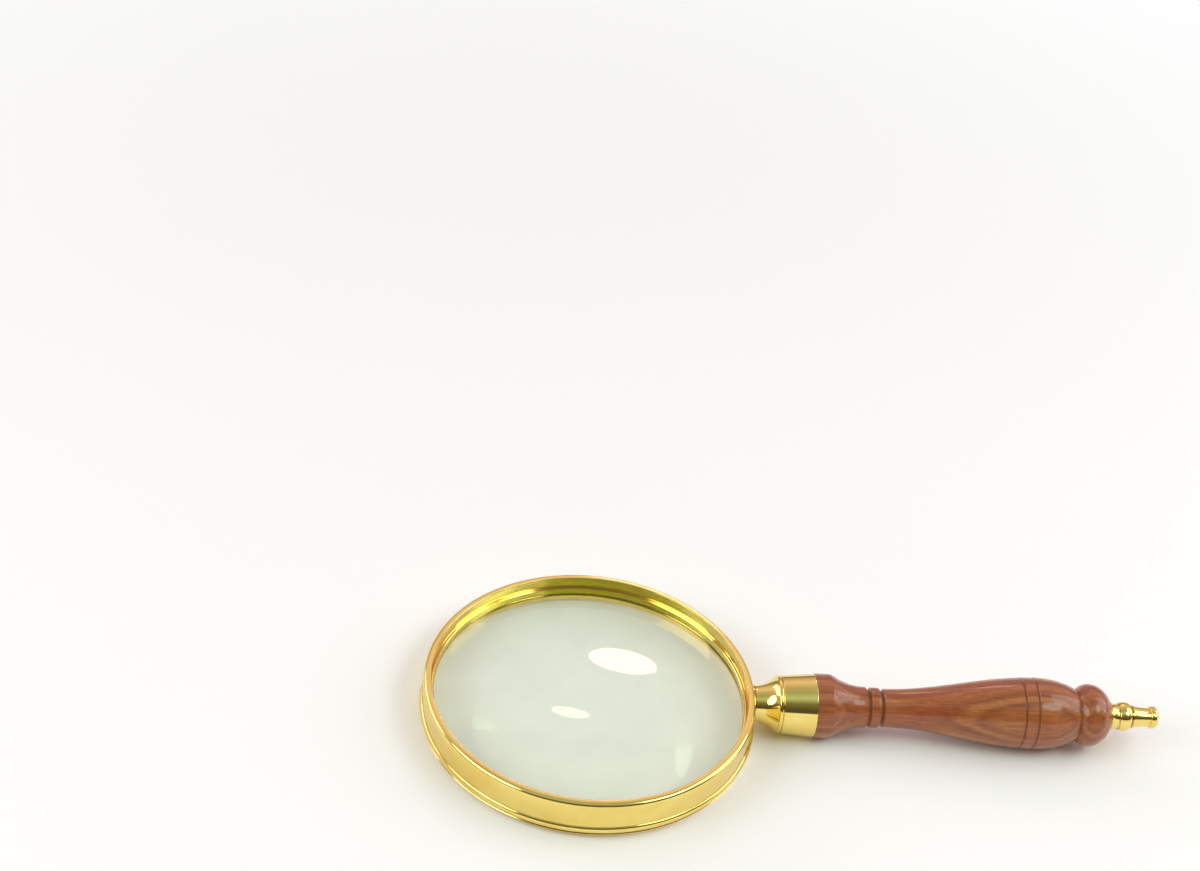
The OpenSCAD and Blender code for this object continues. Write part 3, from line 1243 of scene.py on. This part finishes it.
@dataclass
class Studio:
    """White paper under the object, soft lights round it and the photograph's camera.

    Sizes are in metres. The object lies tipped, on the far side of its foot bead, which is at
    foot_x and foot_z, and on its grip, so the paper slopes down along +X by tilt. The camera
    looks heading degrees round from +X and dip degrees down, and is rolled by roll degrees.
    """

    floor_size: float = 6.0
    foot_x: float = -0.0523
    foot_z: float = -0.0063
    tilt: float = 0.0263
    paper: str = "#FCFCFC"
    fade: Pair = (0.25, 0.7)
    lights: tuple[SoftLight, ...] = (
        SoftLight("left_softbox", 199, 37, 1.2, (1.0, 0.60), 3.4, face=LampFace.ROUND),
        SoftLight("far_left_panel", 148, 21, 1.2, (0.80, 0.30), 2.3),
        SoftLight("right_softbox", 8, 34, 1.2, (0.68, 1.0), 2.15),
        SoftLight("ceiling_light", -29, 51, 1.2, (0.5, 0.5), 3.9, "#FBFFF9", LampFace.ROUND),
        SoftLight("window", 77.5, 36.5, 2.0, (0.27, 0.18), 7.0, "#FFD2D6", LampFace.ROUND),
    )
    eye: Triple = (-0.0824, -0.5492, 0.5270)
    heading: float = 82.208
    dip: float = 37.286
    roll: float = 7.430
    lens_mm: float = 72.0
    film_mm: float = 36.0
    bounces: int = 24

    def build(self) -> None:
        """Sets up floor, light and camera.

        With fewer bounces the rim's far inner wall, seen through the lens, would go dark.
        """
        self.floor()
        self.world()
        for light in self.lights:
            light.hang()
        self.camera()
        scene = bpy.context.scene
        scene.view_settings.view_transform = "Standard"
        scene.cycles.max_bounces = scene.cycles.transmission_bounces = self.bounces
        scene.cycles.glossy_bounces = self.bounces

    def floor(self) -> None:
        """Lays the paper under the rim's foot and the thickest part of the grip."""
        bpy.ops.mesh.primitive_plane_add(
            size=self.floor_size,
            location=(0, 0, self.foot_z + self.foot_x * self.tilt),
            rotation=(0, math.atan(self.tilt), 0),
        )
        paper = bpy.context.object
        paper.name = "studio_floor"
        paper.data.materials.append(self.paper_material())

    def paper_material(self) -> Material:
        """Builds matt white paper that the camera sees fade to plain white away from the object.

        Returns:
            The material.
        """
        material = bpy.data.materials.new("matt_white_paper")
        nodes = Nodes.of(material)
        near = nodes.add(
            "BsdfPrincipled",
            {"Base Color": linear(self.paper), "Roughness": 0.9, "Specular IOR Level": 0.1},
        )
        far = nodes.add("Emission", {"Color": linear("#FFFFFF"), "Strength": 1.0})
        away = nodes.add("VectorMath", {0: nodes.place()}, operation="LENGTH")
        start, end = self.fade
        fade = nodes.add(
            "MapRange",
            {"Value": away.outputs["Value"], "From Min": start, "From Max": end},
            interpolation_type="SMOOTHSTEP",
        )
        ray = nodes.add("LightPath").outputs["Is Camera Ray"]
        seen = nodes.add("Math", {0: fade.outputs[0], 1: ray}, operation="MULTIPLY")
        shader = nodes.add(
            "MixShader", {0: seen.outputs[0], 1: near.outputs[0], 2: far.outputs[0]}
        )
        nodes.add("OutputMaterial", {"Surface": shader.outputs[0]})
        return material

    def world(self) -> None:
        """Fills the room: plain white to the camera, and soft grey walls to the object."""
        world = bpy.data.worlds.new("studio")
        bpy.context.scene.world = world
        nodes = Nodes.of(world)
        ray = nodes.add("LightPath").outputs["Is Camera Ray"]
        colour = nodes.mix(ray, self.room(nodes), "#FFFFFF")
        background = nodes.add("Background", {"Color": colour})
        nodes.add("OutputWorld", {"Surface": background.outputs[0]})

    def room(self, nodes: Nodes) -> NodeSocket:
        """Adds the room's shades over the arch from the front, overhead and down the back.

        On the ramp 0 is the level front, 0.5 straight up and 1 the level back.

        Args:
            nodes: The world's nodes.

        Returns:
            The room's colour.
        """
        way = nodes.add("TexCoord").outputs["Generated"]
        parts = nodes.add("SeparateXYZ", {0: way}).outputs
        nearer = nodes.add("Math", {0: parts["Y"], 1: -1.0}, operation="MULTIPLY").outputs[0]
        angle = nodes.add("Math", {0: parts["Z"], 1: nearer}, operation="ARCTAN2").outputs[0]
        share = nodes.add("Math", {0: angle, 1: math.pi}, operation="DIVIDE").outputs[0]
        return nodes.ramp(
            share,
            (0.060, "#FFFFFF"),
            (0.078, "#544E40"),
            (0.145, "#5A5444"),
            (0.270, "#7E806E"),
            (0.380, "#C2D8CE"),
            (0.500, "#AEB2AA"),
            (0.620, "#C4BEB6"),
            (0.760, "#F2DEEA"),
            (0.880, "#D0BCBE"),
            (0.960, "#94888A"),
        )

    def camera(self) -> None:
        """Stands the camera where the photograph was taken from."""
        bpy.ops.object.camera_add()
        camera = bpy.context.object
        turns = ((self.heading - 90, "Z"), (90 - self.dip, "X"), (self.roll, "Z"))
        pose = Matrix.Translation(self.eye)
        for angle, axis in turns:
            pose @= Matrix.Rotation(math.radians(angle), 4, axis)
        camera.matrix_world = pose
        camera.data.lens = self.lens_mm
        camera.data.sensor_width = self.film_mm
        bpy.context.scene.camera = camera


def main() -> None:
    """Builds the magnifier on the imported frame, then the studio round it."""
    logging.basicConfig(level=logging.INFO, format="%(name)s: %(message)s")
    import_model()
    shop = Workshop.open()
    for part in (LensSet(), NeckSet(), WoodenHandle(), FinialSet()):
        part.build(shop)
    Studio().build()


if __name__ == "__main__":
    main()
